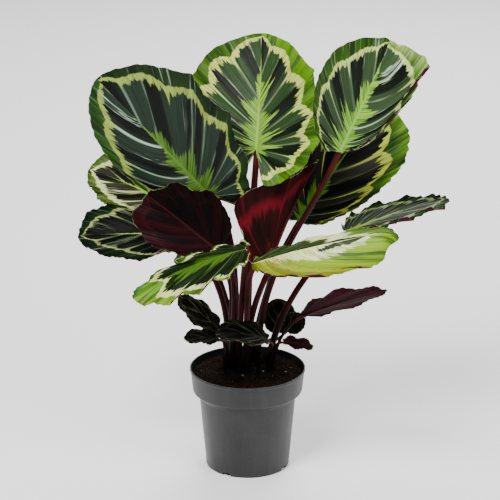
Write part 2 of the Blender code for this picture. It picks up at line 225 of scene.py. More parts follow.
leafDefaults = dict(
    sides=1.0,                  # each half's share of half the width
    arch=10, hook=0, hookFrom=0.65,        # bend of the midrib, and of its tip alone
    lobe=0.05, notch=0.22,      # how far the lobes reach back past the stem, and the notch there
    egg=0.05, point=0.0,        # fuller towards the stem, and narrower towards the tip
    cup=5, curl=10,             # fold at the midrib and roll of each half
    ruffle=3, waves=6, phase=(0.0, 2.0), scallop=0.0,         # waves of the margin, up and outwards
    swellRight=(0, 0, 0, 0, 0), swellLeft=(0, 0, 0, 0, 0),    # fuller or slimmer, stem to tip
    radius=3.5, follow=1.0, arrive=0.25, lean=0.35,           # the stem, and how it meets the blade
    small=False,                # a small leaf gets a coarser grid and a short joint
)

# how a blade is patterned; its main side veins part it into pleats
lookDefaults = dict(
    panels=6.5, pleat=1.6,      # pleats on each half, and their height
    veinForward=0.35, veinOut=0.6,         # how far on, and how far out, a vein goes before it turns
    cusps=0.0,                  # how far the margin stands out in the middle of each pleat
    frill=0.6, frills=17,       # fine waves along the margin
    ring=0.76, ringTip=0.08,    # the pale ring's place from midrib to margin, and further at the tip
    tipTurn=0.0, turnFrom=0.6,  # how far it turns in across the tip, and where from
    dome=0.07, ringWidth=0.014, ringSpread=0.0,         # its arches, its width, and more at the tip
    brush=0.12, spike=0.25, ragged=0.07, soft=0.016,    # its teeth and spikes, its outer side
    lines=0.45, patch=0.7, patchColour="#071007",       # painted highlight lines and dark patches of the margin
    marginInner="#26571a", marginOuter="#163a12", ringColour="#d2de58", edge="#6c8a34",
    feather=0.26, featherFrom=0.0, featherEnd=1.0,      # the plumes along the midrib
    plume=("#4a8410", "#9cc43c"),
    silver=0.7, streak=0.25, streakColour="#a4b890",    # painted sheen and painted highlight streaks of the dark field
    # the near black of the painted pleat shade, and the slate of the painted sheen
    dark="#070c07", slate="#354638",
    freckles=0.0, gloss=0.38, shine=0.14,
    under=("#1e070f", "#3a0f1c", "#4e162a"), underShade=1.0,    # wine, its glow, its pattern; and painted shade that darkens one half
)

# young leaves deep in the plant: almost black, with the pattern only just showing
youngLook = dict(
    panels=3.5, pleat=0.5, feather=0.12, silver=0.25, streak=0.15, dark="#050302",
    slate="#120c08", ringColour="#2a2212", plume=("#16160a", "#222a12"),
    marginInner="#10140a", marginOuter="#0a0c07", edge="#1c1810",
    under=("#0e0205", "#1c060a", "#24080e"), gloss=0.5, shine=0.03, frills=9,
)
youngLeaf = dict(egg=0.0, ruffle=2, waves=3, radius=1.6, small=True, look=youngLook)

leaves = {
    "leaf_left_high": dict(
        base=(-43, -21, 348), tip=(-172, -46, 497.5), facing=(-95, 25), width=165, sides=(1.0, 0.78),
        lobe=(0.255, 0.0), egg=(0.1, -0.05), swellRight=(-0.3, -0.2, -0.02, 0.16, 0.1),
        swellLeft=(-0.25, -0.18, -0.1, -0.08, -0.18), arch=12, cup=12, root=(200, 12), radius=4,
        look=dict(
            pleat=2.6, cusps=(0.1, 0.02), frill=(1, 0.8), veinForward=(0.46, 0.2),
            veinOut=(0.52, 0.72), ring=(0.76, 0.81), ringTip=(0.12, 0.06), dome=0.06,
            ringWidth=0.017, brush=0.16, spike=0.18, feather=(0.3, 0.2), featherEnd=0.95,
            silver=(0.85, 0.75), streak=(0.25, 1.0), streakColour="#b4ccb4", slate="#243428",
            ringColour="#8ca046", plume=("#274a10", "#587a2c"), marginInner=("#18300c", "#2c4c14"),
            marginOuter=("#10240a", "#20400e"), patch=0.8, shine=0.11)),
    "leaf_top": dict(
        base=(10, 0, 398.8), tip=(17, 70, 522), facing=(-108, 8), width=150, lobe=(0.34, 0.18),
        egg=(0.25, 0.05), swellRight=(0.13, 0.07, 0.05, 0.14, 0.14),
        swellLeft=(0, 0, 0.09, 0.2, 0.24), notch=0.08, arch=-14, cup=6, curl=8, root=(95, 10),
        radius=4,
        look=dict(
            pleat=2.6, cusps=(0.13, 0.01), veinForward=0.46, veinOut=0.5, ring=(0.8, 0.81),
            ringTip=(0.02, 0.06), dome=0.1, ringWidth=0.02, brush=0.22, feather=(0.31, 0.28),
            featherEnd=1.02, silver=0.8, streak=(0.3, 0.8), dark="#0a1408", slate="#344e28",
            ringColour="#c0cc64", plume=("#34640c", "#8cb43c"), marginInner=("#44700a", "#3c640c"),
            marginOuter=("#54840a", "#3a5c0a"), shine=0.09)),
    "leaf_right_high": dict(
        base=(107, -35, 407), tip=(162, -35, 540), facing=(-80, 22), width=125, sides=(0.88, 0.85),
        lobe=(-0.04, 0.05), egg=(-0.45, -0.05), swellRight=(-0.05, -0.12, -0.24, -0.18, 0.5),
        swellLeft=(0, 0.03, 0.12, 0.24, 0), hook=40, ruffle=5, root=(28, 15.5), lean=0.0, follow=0.6,
        arrive=0.35, radius=3.4,
        look=dict(
            panels=7.0, pleat=2.4, frill=(2.4, 0.6), frills=14, veinForward=(0.2, 0.45),
            veinOut=(0.7, 0.52), ring=(0.76, 0.8), ringTip=(0.06, 0.04), dome=0.05, ringWidth=0.013,
            brush=0.14, feather=(0.24, 0.36), featherEnd=1.04, silver=0.85, streak=(1.0, 0.3),
            streakColour="#b8ccb0", dark="#0a1208", slate="#3a5230", ringColour="#bccc74",
            plume=("#38700f", "#88b444"), marginInner=("#3c6c1c", "#30540e"), shine=0.09,
            marginOuter=("#8cac50", "#2a480c"))),
    "leaf_right_back": dict(
        base=(63, 50, 294), tip=(162, 80, 437), facing=(-100, 15), width=136, sides=(1.05, 0.75),
        lobe=(0.0, 0.08), egg=(-0.2, 0.0), swellRight=(-0.2, -0.2, -0.13, -0.03, 0.16), ruffle=4,
        root=(66, 19.5), lean=0.25, radius=3.7,
        look=dict(
            panels=6.0, pleat=2.2, frill=(1.6, 0.8), ring=(0.69, 0.75), ringTip=(0.14, 0.08),
            dome=0.18, brush=0.26, spike=0.5, ringWidth=0.016, feather=(0.1, 0.28), featherEnd=0.9,
            silver=(0.8, 0.3), streak=(0.6, 0.1), streakColour="#6a7450", dark="#050603",
            slate="#26281c", ringColour="#a8b43c", plume=("#2f5408", "#4c7410"), shine=0.08,
            marginInner=("#2a4c0e", "#3a6c10"), marginOuter=("#5c9014", "#2a560c"), patch=0.9)),
    "leaf_right_far": dict(
        base=(121, 60, 278), tip=(245, 100, 307), facing=(-90, 86), width=70, sides=(1.05, 0.65),
        swellRight=(0, 0, 0.05, 0.2, 0.35), swellLeft=(0.45, 0.35, 0.15, 0, 0), root=(8, 27),
        lean=0.2, follow=0.6, radius=3.7,
        look=dict(
            panels=7.0, pleat=1.4, frill=1.8, frills=12, feather=0.16, silver=1.0, streak=1.0,
            streakColour="#94a874", dark="#0a0e08", slate="#2c3a24", brush=0.24,
            ringColour="#a4b474", marginInner="#3a5826", shine=0.05, marginOuter="#182a12")),
    "leaf_right_front": dict(
        base=(6, -74, 283.5), tip=(173, -90, 318), facing=(-80, 86), width=85, sides=(0.81, 0.5),
        lobe=0.03, egg=-0.05, swellRight=(-0.2, -0.05, 0.1, 0.2, 0.62),
        swellLeft=(0, 0, -0.1, -0.05, 0.12), hook=75, hookFrom=0.84, cup=(-42, 5), curl=(-15, 0),
        ruffle=2, root=(-93, 23), lean=0.1, follow=0.5, arrive=0.1,
        look=dict(
            panels=5.5, pleat=3.2, veinForward=(0.06, 0.35), veinOut=(0.7, 0.6), ring=(-1.12, 1.7),
            ringTip=(1.75, -1.4), tipTurn=(1.0, 0.0), turnFrom=0.92, ragged=0.7, lines=0.35,
            dome=0.1, ringWidth=0.07, brush=0.2, spike=0.2, feather=(0.42, 0.05), featherFrom=0.6,
            featherEnd=0.93, plume=("#b4bc6c", "#dce4a0"), silver=(0.3, 0.6), streak=(0.2, 0.5),
            streakColour="#b4c058", dark="#122408", slate="#2c400c", ringColour="#dce4a0", shine=0.1,
            marginInner=("#7c9c0a", "#54740c"), marginOuter=("#6a8a06", "#3c580c"), patch=0.95,
            patchColour="#2c4c08", edge="#b4b83c", freckles=(0.9, 0.0))),
    "leaf_left_front": dict(
        base=(-2, -88, 306), tip=(-131, -128, 261), facing=(-90, 80), width=90, sides=(0.7, 0.72),
        lobe=(0.12, 0.04), swellRight=(0.6, 0.05, 0, -0.05, 0), swellLeft=(0, 0.05, 0.1, 0.2, 0.42),
        arch=25, cup=(-8, -12), curl=-10, root=(-118, 21), lean=0.0, follow=0.0, arrive=0.1,
        look=dict(
            panels=6.0, frill=1, ring=(0.94, 1.02), ringTip=(-0.08, -0.2), tipTurn=(1.0, 1.1),
            turnFrom=0.82, ringSpread=0.035, ringWidth=0.01, brush=0.2, feather=(0.42, 0.54),
            featherFrom=0.55, featherEnd=0.99, silver=0.5, streak=0.3, streakColour="#7c9c5c",
            dark="#071203", slate="#1c340c", shine=0.1, plume=("#2c4a0a", "#466a18"),
            ringColour="#d8e08c", marginInner=("#4c7c14", "#5c8c14"),
            marginOuter=("#2c5410", "#749418"), edge="#a8b040")),
    "leaf_left_under": dict(
        base=(-33, -34, 284), tip=(-114, -100, 376), facing=(125, 20), width=101, sides=(0.78, 0.93),
        lobe=0.08, point=(0.0, 0.5), swellRight=(-0.3, -0.1, 0.15, 0.25, 0.2),
        swellLeft=(-0.12, 0.14, 0.08, 0, 0), arch=20, cup=10, ruffle=4, waves=4, scallop=0.05,
        root=(215, 22),
        look=dict(
            panels=5.5, pleat=2.2, under=("#100205", "#2e060b", "#340a11"), underShade=(1.0, 0.25))),
    "leaf_centre_under": dict(
        base=(21.5, -35, 258), tip=(83, 0, 386.5), facing=(110, 10), width=125, sides=(1.05, 0.5),
        lobe=0.02, egg=(0.3, 0.1), point=(1.0, 0.0), swellRight=(-0.4, -0.26, 0.36, -0.12, -0.4),
        arch=20, cup=(10, 70), waves=5, root=(-80, 3), lean=0.0, follow=1.8, radius=3.7,
        look=dict(
            panels=5.5, pleat=1.4, ring=(0.66, 0.76), ringWidth=0.04, brush=0.25, soft=0.14,
            spike=0.14, under=("#120302", "#240605", "#600818"), edge="#d8d8a0")),
    "leaf_left_mid": dict(
        base=(-87, 85, 303), tip=(-194, 105, 343), facing=(-100, 55), width=95,
        swellLeft=(0, 0, -0.1, 0, 0), waves=5, root=(130, 21), lean=0.15, arrive=0.15,
        look=dict(
            panels=5.0, frill=(0.8, 1.6), ringWidth=0.022, brush=0.24, spike=0.45, feather=0.1,
            silver=0.4, streak=1.0, streakColour="#c0c488", dark="#0a0a05", slate="#42442c",
            ringColour="#d8e098", marginInner="#647c2c", shine=0.06, marginOuter="#3a5216")),
    "leaf_left_low": dict(
        base=(-73, 5, 293), tip=(-203, 25, 284), facing=(-100, 45), width=70, egg=0.0,
        swellRight=(-0.3, -0.25, -0.15, 0.25, 0.5), swellLeft=(0, 0, 0.12, -0.05, -0.12), waves=5,
        root=(150, 26), lean=0.0, follow=0.3, arrive=0.35,
        look=dict(
            panels=5.0, frill=(1.4, 0.8), ring=0.74, ringWidth=0.009, brush=0.14, feather=0.05,
            silver=(0.3, 0.2), streak=(0.3, 0.5), dark="#040603", slate="#11170d", shine=0.03,
            ringColour="#98a060", marginInner=("#102a10", "#102410"),
            marginOuter=("#071408", "#060c06"))),
    "leaf_left_inner": dict(
        youngLeaf, base=(-42, -22, 266), tip=(-87, -27, 270), facing=(-90, 60), width=34, egg=0.05,
        root=(172, 22), radius=2.2,
        look=dict(
            panels=3.5, dark="#080d09", slate="#2a362a", silver=0.6)),
    "leaf_low_left": dict(
        youngLeaf, base=(-34, -16, 180), tip=(-83, -22, 223), facing=(-60, 55), width=40,
        sides=(0.75, 1.2), arch=15, ruffle=3, waves=4, root=(200, 29), radius=1.8),
    "leaf_small_left": dict(
        youngLeaf, base=(-34, -46, 179.5), tip=(-75, -58, 184), facing=(-90, 60), width=24, arch=30,
        root=(218, 33)),
    "leaf_small_front": dict(
        youngLeaf, base=(24, -64, 185.5), tip=(-38, -70, 195.5), facing=(-90, 70), width=42, arch=30,
        root=(-65, 32)),
    "leaf_small_upright": dict(
        youngLeaf, base=(37, 60, 146), tip=(37, 70, 187), facing=(-90, 10), width=40,
        sides=(1.15, 0.9), root=(85, 27)),
    "leaf_small_back": dict(
        youngLeaf, base=(49, 48, 153), tip=(68, 51, 173), facing=(-90, 30), width=26, root=(45, 29)),
    "leaf_low_right": dict(
        youngLeaf, base=(65, -10, 195), tip=(166, -20, 231), facing=(90, 45), width=66,
        sides=(0.72, 1.0), lobe=0.0, egg=0.1, swellRight=(0, 0, 0, -0.1, -0.35),
        swellLeft=(-0.3, -0.1, 0, -0.1, -0.35), waves=4, root=(-8, 31), radius=1.8,
        look=dict(
            panels=4.5, pleat=0.7, under=("#160409", "#2c0912", "#3a0d18"), edge="#3a4a20")),
    "leaf_small_right": dict(
        youngLeaf, base=(43, -20, 166), tip=(78, -35, 166), facing=(90, 30), width=32,
        sides=(0.6, 1.0), root=(-35, 32),
        look=dict(
            panels=3.5, pleat=0.5, under=("#120306", "#220709", "#2c090f"), edge="#200c10")),
}

bladeThickness = 0.7 * mm
bendSteps = 60
veinSpread, veinCrowd, veinLast = 1.15, 4.2, 0.88     # how the side veins share out the midrib
swellAt, swellReach = (0.1, 0.3, 0.5, 0.7, 0.9), 0.13
tipFrom, tipDraw = 0.8, 0.7                           # where the tip is drawn out, and how much
scallopPhase = 1.0
crownY = 18 * mm


def leafSettings(name):
    leaf = {**leafDefaults, **leaves[name]}
    leaf["look"] = {**lookDefaults, **leaf["look"]}
    return {**leaf, **{key: leaf[key] * mm for key in ("width", "ruffle", "radius")}}


def bothHalves(value):
    return value if isinstance(value, tuple) else (value, value)


def leafFrame(leaf):
    base, tip = np.array(leaf["base"]) * mm, np.array(leaf["tip"]) * mm
    azimuth, elevation = (math.radians(angle) for angle in leaf["facing"])
    facing = np.array((math.cos(elevation) * math.cos(azimuth),
                       math.cos(elevation) * math.sin(azimuth), math.sin(elevation)))
    chord = np.linalg.norm(tip - base)
    along = (tip - base) / chord
    upper = facing - along * facing.dot(along)
    upper /= np.linalg.norm(upper)
    return base, along, upper, np.cross(along, upper), chord


def bentMidrib(leaf, chord):
    # forward distance, height and slope at each step from base to tip, scaled to span the chord
    arch, hook, start = math.radians(leaf["arch"]), math.radians(leaf["hook"]), leaf["hookFrom"]

    def slopeAt(share):
        return arch * (0.5 - share) - hook * np.clip((share - start) / (1 - start), 0, 1) ** 2

    slopes = slopeAt((np.arange(bendSteps) + 0.5) / bendSteps)
    forward = np.concatenate([[0], np.cumsum(np.cos(slopes))]) / bendSteps
    height = np.concatenate([[0], np.cumsum(np.sin(slopes))]) / bendSteps
    turn = math.atan2(height[-1], forward[-1])
    length = chord / math.hypot(forward[-1], height[-1])
    return (length * (forward * math.cos(turn) + height * math.sin(turn)),
            length * (height * math.cos(turn) - forward * math.sin(turn)),
            slopeAt(np.linspace(0, 1, bendSteps + 1)) - turn, length)


def alongMidrib(path, share):
    steps = np.linspace(0, 1, bendSteps + 1)
    forward, height, slope = (np.interp(np.clip(share, 0, 1), steps, values) for values in path[:3])
    back = np.minimum(share, 0) * path[3]     # a lobe reaches back past the stem, straight on
    return forward + back * math.cos(path[2][0]), height + back * math.sin(path[2][0]), slope


def marginPoint(leaf, row, ridge, pair):
    # where a side vein ends: the share of the midrib's length, and of the half's width
    turn = math.pi * row ** veinSpread
    far = turn / math.pi
    lobe = pair(leaf["lobe"])
    along = (1 + lobe) * (1 - np.cos(turn)) / 2 - lobe * (1 - np.exp(-(turn / leaf["notch"]) ** 2))
    tip = np.clip((far - tipFrom) / (1 - tipFrom), 0, 1)
    across = np.sin(turn) * (1 + pair(leaf["egg"]) * np.cos(turn)) * (1 - tipDraw * tip ** 2 * (1 - tip))
    across = across * (1 - pair(leaf["point"]) * far ** 2)
    for place, right, left in zip(swellAt, leaf["swellRight"], leaf["swellLeft"]):
        across = across * (1 + pair((right, left)) * np.exp(-((far - place) / swellReach) ** 2))
    wave = np.sin(2 * math.pi * leaf["waves"] * far + pair(leaf["phase"]) + scallopPhase)
    across = across * (1 + leaf["scallop"] * wave * np.sin(turn))
    cusp = pair(leaf["look"]["cusps"]) * ((1 - ridge) ** 2 - 0.3)
    return along, across * (1 + cusp * np.sin(turn)), turn


def bladePoints(leaf, row, column):
    # row 0..1 from stem to tip, column -1..1 from left margin to right, along the side veins
    base, alongAxis, upperAxis, rightAxis, chord = leafFrame(leaf)
    path = bentMidrib(leaf, chord)
    look = leaf["look"]
    right = column >= 0
    out = np.abs(column)

    def pair(values):
        return np.where(right, *bothHalves(values))

    veins = row * look["panels"] + np.where(right, 0.0, 0.5)
    ridge = np.abs(veins % 1.0 - 0.5) * 2     # 1 on a main side vein, 0 between two
    endAlong, endAcross, turn = marginPoint(leaf, row, ridge, pair)

    def frillWave(shift):
        # three waves of unlike length, so that no two stretches of a margin are the same
        turns = 2 * look["frills"] * turn
        return (np.sin(turns + 5 * pair(leaf["phase"]) + shift)
                + 0.7 * np.sin(1.7 * turns + 1.3 + 2 * shift)
                + 0.6 * np.sin(0.37 * turns + 0.4 + shift))

    # each side vein is a bow from the midrib to the margin
    start = veinLast * row ** veinCrowd
    bowAlong = start + (endAlong - start) * pair(look["veinForward"])
    share = (1 - out) ** 2 * start + 2 * out * (1 - out) * bowAlong + out ** 2 * endAlong
    halfWidth = leaf["width"] / 2 * pair(leaf["sides"])
    flat = halfWidth * endAcross * (2 * out * (1 - out) * pair(look["veinOut"]) + out ** 2)

    cup, curl = np.radians(pair(leaf["cup"])), np.radians(pair(leaf["curl"]))
    rate = (curl + 1e-6) / halfWidth
    sideways = (np.sin(cup + rate * flat) - np.sin(cup)) / rate
    rise = (np.cos(cup) - np.cos(cup + rate * flat)) / rate
    frill = pair(look["frill"]) * mm * out ** 4 * np.minimum(1, 8 * np.sin(turn))
    sideways = sideways + 0.6 * frill * frillWave(0.0)
    rise = rise + 0.9 * frill * frillWave(1.6)
    body = np.sqrt(np.abs(np.sin(math.pi * row)))
    wave = np.sin(2 * math.pi * leaf["waves"] * row + pair(leaf["phase"]))
    rise = rise + leaf["ruffle"] * out ** 3 * wave * body
    fade = body * np.minimum(1, out * 5)
    rise = rise + look["pleat"] * mm * (0.5 - ridge ** 2.5) * fade * (0.7 + 1.3 * out ** 2)
    sideways = np.where(right, sideways, -sideways)

    forward, height, slope = alongMidrib(path, share)
    normal = np.outer(np.cos(slope), upperAxis) - np.outer(np.sin(slope), alongAxis)
    return (base + np.outer(forward, alongAxis) + np.outer(height, upperAxis)
            + np.outer(sideways, rightAxis) + normal * rise[:, None])


# marks of a blade, as noise drawn out along its side veins: how many to a pleat, which is about
# 20 mm wide on a large blade, how many from midrib to margin, detail and roughness
leafMarks = dict(
    teeth=(11.0, 1.0, 3.0, 0.75),          # brushed inner side of the ring, 2 mm
    arches=(0.9, 0.4, 1.0, 0.5),           # how the ring wanders from pleat to pleat
    hairs=(13.0, 0.9, 3.0, 0.75),          # hairs of the feather, 1.5 mm
    clumps=(3.0, 0.3, 1.0, 0.5),           # and how they gather
    streaks=(4.5, 0.7, 3.0, 0.6),          # where the painted pleat shade wavers and the painted highlight streaks of the dark field lie, and the margin's dark patches, 4 mm
    freckles=(6.0, 14.0, 2.0, 0.5),        # rusty spots, 3 mm
    wax=(3.0, 8.0, 4.0, 0.5),              # uneven wax, 7 mm
    underStreaks=(4.0, 0.8, 3.0, 0.5),
    velvet=(5.0, 14.0, 4.0, 0.5),          # nap of the underside, 4 mm
)
crossVeins = 7                             # fine veins across a pleat, 3 mm apart
midribLine = (0.030, 0.012)                # where the pale midrib ends, as a share of the way out


def bladeCoordinates(add, look, seed):
    uv = add("ShaderNodeUVMap", uv_map="leaf")
    row = add("split", uv, out="Y")
    across = add("MULTIPLY_ADD", add("split", uv, out="X"), 2.0, -1.0)
    out = add("ABSOLUTE", across)
    right = add("GREATER_THAN", across, 0.0)
    veins = add("MULTIPLY_ADD", row, look["panels"], add("MULTIPLY_ADD", right, -0.5, 0.5))
    inPanel = add("FRACT", veins)
    ridge = add("MULTIPLY", add("ABSOLUTE", add("SUBTRACT", inPanel, 0.5)), 2.0)
    layer = add("MULTIPLY_ADD", right, 7.3, seed)

    def marks(kind):
        perPleat, outward, detail, roughness = leafMarks[kind]
        place = add("ShaderNodeCombineXYZ", add("MULTIPLY", row, look["panels"] * perPleat),
                    add("MULTIPLY", out, outward), layer)
        return add("noise", place, 1.0, detail, roughness)

    def half(key):
        # a number or a colour that may differ between the two halves
        values = look[key]
        if not isinstance(values, tuple):
            return values
        if isinstance(values[0], str):
            return add("mix", right, values[1], values[0])
        return add("MULTIPLY_ADD", right, values[0] - values[1], values[1])

    return SimpleNamespace(row=row, out=out, inPanel=inPanel, ridge=ridge, marks=marks, half=half)


def ringMasks(add, look, blade):
    # the ring is a chain of arches, smooth outside and brushed inside
    teeth, arches = blade.marks("teeth"), blade.marks("arches")
    dome = add("MULTIPLY", add("POWER", blade.ridge, 2.0), -look["dome"])
    place = add("ADD", blade.half("ring"), dome)
    place = add("MULTIPLY_ADD", blade.row, blade.half("ringTip"), place)
    place = add("MULTIPLY_ADD", add("SUBTRACT", arches, 0.5), 0.10, place)
    if look["tipTurn"]:
        turned = add("POWER", add("ease", blade.row, look["turnFrom"], 1.01), 1.4)
        place = add("SUBTRACT", place, add("MULTIPLY", turned, blade.half("tipTurn")))
    offset = add("SUBTRACT", blade.out, place)
    width = add("MULTIPLY_ADD", arches, look["ringWidth"] * 1.6, look["ringWidth"] * 0.3)
    if look["ringSpread"]:
        width = add("MULTIPLY_ADD", add("POWER", blade.row, 3.0), look["ringSpread"], width)
    brush = add("MULTIPLY", add("SUBTRACT", teeth, 0.36), look["brush"] * 2)
    inner = add("ADD", offset, add("ADD", width, brush))
    outer = add("MULTIPLY_ADD", add("SUBTRACT", teeth, 0.5), look["ragged"], offset)
    outside = add("ease", add("SUBTRACT", outer, width), 0.0, look["soft"])
    ring = add("MULTIPLY", add("ease", inner, 0.0, look["soft"]), add("SUBTRACT", 1.0, outside))
    # thin spikes run in from the ring along the main veins
    along = add("DIVIDE", add("ADD", offset, look["spike"]), look["spike"], use_clamp=True)
    narrow = add("MULTIPLY_ADD", along, -0.14, 0.99)
    spikes = add("ease", blade.ridge, narrow, add("ADD", narrow, 0.05))
    spikes = add("MULTIPLY", spikes, add("LESS_THAN", offset, 0.0))
    return add("MAXIMUM", ring, add("MULTIPLY", spikes, 0.9)), outside


def featherMask(add, look, blade):
    # one ragged plume to each pleat, brushed out along the side veins
    hairs, clumps = blade.marks("hairs"), blade.marks("clumps")
    start, end = look["featherFrom"], look["featherEnd"]
    fade = add("ease", blade.row, end * 1.02, end * 0.80)
    if start:
        fade = add("MULTIPLY", fade, add("ease", blade.row, start, start + 0.2))
    plume = add("POWER", add("SINE", add("MULTIPLY", blade.inPanel, math.pi)), 1.8)
    plume = add("MULTIPLY_ADD", plume, 0.75, 0.25)
    reach = add("MULTIPLY", add("MULTIPLY", fade, plume), blade.half("feather"))
    brushed = add("ADD", add("MULTIPLY_ADD", hairs, 3.4, -1.1), add("SUBTRACT", clumps, 0.3))
    reach = add("MULTIPLY_ADD", reach, brushed, 0.010)
    return add("ease", add("SUBTRACT", reach, blade.out), -0.006, 0.016), hairs


def veinedBump(add, look, blade, skin, veins, strength):
    # fine cross veins over the skin of a blade
    turns = add("MULTIPLY", blade.row, look["panels"] * 2 * math.pi * crossVeins)
    return add("bump", add("MULTIPLY_ADD", add("SINE", turns), veins, skin), strength, 0.4 * mm)


def darkField(add, look, blade, hairs, streaks):
    # each pleat is painted with shade and sheen: a near black band of painted shade and a slate band of
    # painted sheen, with pale painted highlight streaks along its veins
    turn = add("MULTIPLY_ADD", blade.inPanel, 2 * math.pi, add("MULTIPLY", streaks, 5.0))
    paintedPleatShade = add("ease", add("SINE", turn), -0.75, 0.35)
    grey = add("ease", hairs, 0.25, 0.75, 0.45, 1.0)
    shade = add("MULTIPLY", add("MULTIPLY", paintedPleatShade, grey), blade.half("silver"))
    field = add("mix", shade, look["dark"], look["slate"])
    # painted highlights: pale glint lines along the main veins and between them
    main = add("MULTIPLY", add("ease", blade.ridge, 0.86, 0.99), add("ease", streaks, 0.35, 0.62))
    second = add("ease", add("SINE", add("ADD", turn, 1.9)), 0.90, 1.0)
    second = add("MULTIPLY", second, add("ease", hairs, 0.45, 0.6))
    lines = add("ADD", main, add("MULTIPLY", second, 0.8))
    lines = add("MULTIPLY", lines, blade.half("streak"), use_clamp=True)
    return add("mix", lines, field, look["streakColour"])


def greenMargin(add, look, blade, hairs, streaks):
    # green, with darker patches, and paler lines along the veins that are painted highlights
    return layered(
        add, blade.half("marginInner"),
        (add("ease", blade.out, 0.78, 1.0), blade.half("marginOuter")),
        (add("ease", streaks, 0.42, 0.62, 0.0, look["patch"]), look["patchColour"]),
        (add("ease", hairs, 0.58, 0.70, 0.0, look["lines"]), look["streakColour"]))


def yellowed(add, blade, colour):
    # an ageing half: yellow towards the stem, with rusty freckles
    share = add("MULTIPLY", add("ease", blade.row, 0.82, 0.60), blade.half("freckles"))
    spots = add("ease", blade.marks("freckles"), 0.58, 0.66)
    return layered(add, colour, (add("MULTIPLY", share, 0.5), "#8c8c10"),
                   (add("MULTIPLY", spots, share), "#8c4c0c"))


def upperMaterial(name, look, seed):
    # waxy upper side: feathered midrib, dark pleated field with painted shade, sheen and highlights,
    # pale ring, green margin with painted highlight lines
    mat, add = newMaterial(name + "_upper")
    blade = bladeCoordinates(add, look, seed)
    ring, outside = ringMasks(add, look, blade)
    feather, hairs = featherMask(add, look, blade)
    streaks, wax = blade.marks("streaks"), blade.marks("wax")
    pale = look["plume"][1]
    plume = layered(add, look["plume"][0], (add("ease", hairs, 0.35, 0.65), pale),
                    (add("ease", blade.row, 0.55, 0.0, 0.0, 0.55), pale))
    uneven = add("ease", hairs, 0.30, 0.60, 0.45, 1.0)
    midrib = add("MULTIPLY", add("ease", blade.out, *midribLine), add("ease", blade.row, 1.0, 0.9))
    colour = layered(
        add, darkField(add, look, blade, hairs, streaks),
        (outside, greenMargin(add, look, blade, hairs, streaks)),
        (add("MULTIPLY", ring, uneven), look["ringColour"]),
        (feather, plume),
        (add("MULTIPLY", midrib, 0.8), pale))
    if look["freckles"]:
        colour = yellowed(add, blade, colour)
    return finishMaterial(
        mat, colour, add("MULTIPLY_ADD", wax, 0.22, look["gloss"] - 0.08), look["shine"],
        veinedBump(add, look, blade, add("MULTIPLY", wax, 1.2), 0.35, 0.35))


def underMaterial(name, look, seed):
    # the underside: wine red velvet, with the upper side's pattern glowing through
    mat, add = newMaterial(name + "_under")
    blade = bladeCoordinates(add, look, seed)
    ring, outside = ringMasks(add, look, blade)
    feather = featherMask(add, look, blade)[0]
    streaks, velvet = blade.marks("underStreaks"), blade.marks("velvet")
    wine, glow, lit = look["under"]
    pattern = add("MAXIMUM", add("MULTIPLY", ring, 0.8), add("MULTIPLY", feather, 0.25))
    colour = layered(
        add, wine,
        (add("ease", streaks, 0.35, 0.7), glow),
        (add("MULTIPLY", outside, 0.5), glow),
        (pattern, lit),
        (add("ease", blade.ridge, 0.88, 1.0, 0.0, 0.35), lit))
    # painted shade: one half of the underside darkened
    if look["underShade"] != 1.0:
        colour = add("mix", 1.0, colour, blade.half("underShade"), blend_type="MULTIPLY")
    return finishMaterial(mat, colour, add("MULTIPLY_ADD", velvet, 0.2, 0.5), 0.06,
                          veinedBump(add, look, blade, velvet, 0.4, 0.4))


def edgeMaterial(name, look):
    # the thin dry rim that every blade has, browned in places 6 mm long
    mat, add = newMaterial(name + "_edge")
    browned = add("ease", add("noise", add("place"), 160.0, 3.0), 0.35, 0.7)
    return finishMaterial(mat, add("mix", browned, look["edge"], "#5a4a20"), 0.45, 0.5)


bladeGrid = dict(large=(150, 88), small=(70, 44))     # rows from stem to tip, columns across


def buildBlade(name, seed):
    leaf = leafSettings(name)
    rows, columns = bladeGrid["small" if leaf["small"] else "large"]
    bm = bmesh.new()
    bm.loops.layers.uv.new("leaf")
    bmesh.ops.create_grid(bm, x_segments=columns, y_segments=rows, size=1.0, calc_uvs=True)
    grid = np.array([vert.co for vert in bm.verts])
    row, column = np.clip((grid[:, 1] + 1) / 2, 0, 1), grid[:, 0]
    for vert, place in zip(bm.verts, bladePoints(leaf, row, column)):
        vert.co = place
    bmesh.ops.remove_doubles(bm, verts=bm.verts, dist=0.01 * mm)
    mesh = newMesh(name, bm)
    mesh.shade_smooth()
    for mat in (upperMaterial(name, leaf["look"], seed), underMaterial(name, leaf["look"], seed),
                edgeMaterial(name, leaf["look"])):
        mesh.materials.append(mat)
    blade = newObject(name + "_blade", mesh)
    shell = blade.modifiers.new("thickness", "SOLIDIFY")
    shell.thickness = bladeThickness * 0.8
    shell.offset = 0.0
    shell.material_offset = 1          # the inner shell is the underside
    shell.material_offset_rim = 2
    bakeModifiers(blade)
    standIn(blade, name)


# stems

petiole = dict(
    foot=6 * mm, bow=0.4, points=48,            # the stem's path from the soil to the blade
    footShare=1.35, footEnd=0.4, jointShare=0.9, jointSwell=0.10, joint=22 * mm, smallJoint=8 * mm,
    ribPoints=44, ribShare=0.62, ribTaper=0.50, ribFrom=0.02, ribTo=0.985,    # on under the midrib
    sides=20, groove=0.30, fit=0.3 * mm,
    # the streak colour is partly a painted highlight; the colour and heights low on the stem are painted
    # shade in the crown
    wine="#140305", wineStreakSheen="#461216", crownShadeColour="#0b0304", jointColour="#461214",
    ribColour="#340c10", crownShadeHeights=(95 * mm, 25 * mm),
)


